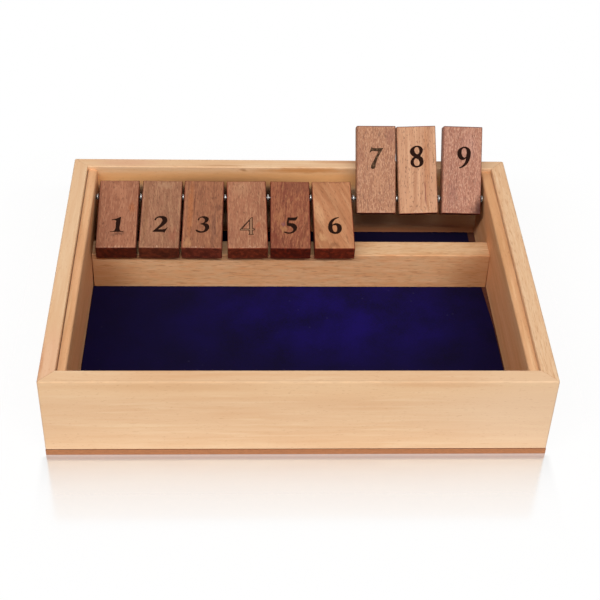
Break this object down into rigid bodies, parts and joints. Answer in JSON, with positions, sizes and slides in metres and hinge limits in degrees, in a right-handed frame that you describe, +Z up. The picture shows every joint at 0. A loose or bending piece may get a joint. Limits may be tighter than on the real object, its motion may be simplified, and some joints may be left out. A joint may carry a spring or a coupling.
{
  "type": "shut the box game",
  "caption": "Open mitred wooden dice tray with a felt floor and a row of numbered wooden tiles that flip on a steel rod.",
  "frame": {"origin": "centre of the tray's underside", "axes": "+X along the row of tiles towards the highest tile, +Y towards the back wall, +Z up out of the tray"},
  "size_m": [0.254, 0.1972, 0.0753],
  "materials": {
    "frame_wood": "sanded pale softwood under thin clear lacquer",
    "base_board": "bare reddish fibreboard",
    "liner_wood": "sanded pale softwood",
    "divider_wood": "sanded pale softwood",
    "felt": "matt dark blue needled felt",
    "rod_steel": "drawn steel",
    "washer_steel": "bright zinc plate",
    "number_ink": "stamped black ink",
    "tile_1_wood": "oiled dark hardwood",
    "tile_2_wood": "oiled dark hardwood",
    "tile_3_wood": "oiled dark hardwood",
    "tile_4_wood": "oiled dark hardwood",
    "tile_5_wood": "oiled dark hardwood",
    "tile_6_wood": "oiled dark hardwood",
    "tile_7_wood": "oiled dark hardwood",
    "tile_8_wood": "oiled dark hardwood",
    "tile_9_wood": "oiled dark hardwood"
  },
  "bodies": {
    "tray": {"base_panel": "base_board", "wall_front": "frame_wood", "wall_back": "frame_wood", "wall_left": "frame_wood", "wall_right": "frame_wood", "liner_left": "liner_wood", "liner_right": "liner_wood", "divider": "divider_wood", "felt_tray": "felt", "felt_trough": "felt", "hinge_rod": "rod_steel", "washers": "washer_steel"},
    "tile_1": {"tile_1": "tile_1_wood"},
    "tile_2": {"tile_2": "tile_2_wood"},
    "tile_3": {"tile_3": "tile_3_wood"},
    "tile_4": {"tile_4": "tile_4_wood"},
    "tile_5": {"tile_5": "tile_5_wood"},
    "tile_6": {"tile_6": "tile_6_wood"},
    "tile_7": {"tile_7": "tile_7_wood"},
    "tile_8": {"tile_8": "tile_8_wood"},
    "tile_9": {"tile_9": "tile_9_wood"}
  },
  "joints": [
    {"name": "flip_1", "type": "hinge", "parent": "tray", "child": "tile_1", "pos_m": [-0.09965, 0.0715, 0.04], "axis": [-1, 0, 0], "range_deg": [0, 142.6]},
    {"name": "flip_2", "type": "hinge", "parent": "tray", "child": "tile_2", "pos_m": [-0.07479, 0.0715, 0.04], "axis": [-1, 0, 0], "range_deg": [0, 142.6]},
    {"name": "flip_3", "type": "hinge", "parent": "tray", "child": "tile_3", "pos_m": [-0.05063, 0.0715, 0.04], "axis": [-1, 0, 0], "range_deg": [0, 142.6]},
    {"name": "flip_4", "type": "hinge", "parent": "tray", "child": "tile_4", "pos_m": [-0.02598, 0.0715, 0.04], "axis": [-1, 0, 0], "range_deg": [0, 142.6]},
    {"name": "flip_5", "type": "hinge", "parent": "tray", "child": "tile_5", "pos_m": [-0.00077, 0.0715, 0.04], "axis": [-1, 0, 0], "range_deg": [0, 142.6]},
    {"name": "flip_6", "type": "hinge", "parent": "tray", "child": "tile_6", "pos_m": [0.0236, 0.0715, 0.04], "axis": [-1, 0, 0], "range_deg": [0, 142.6]},
    {"name": "flip_7", "type": "hinge", "parent": "tray", "child": "tile_7", "pos_m": [0.04951, 0.0715, 0.04], "axis": [-1, 0, 0], "range_deg": [-142.6, 0]},
    {"name": "flip_8", "type": "hinge", "parent": "tray", "child": "tile_8", "pos_m": [0.07416, 0.0715, 0.04], "axis": [-1, 0, 0], "range_deg": [-142.6, 0]},
    {"name": "flip_9", "type": "hinge", "parent": "tray", "child": "tile_9", "pos_m": [0.09951, 0.0715, 0.04], "axis": [-1, 0, 0], "range_deg": [-142.6, 0]}
  ]
}
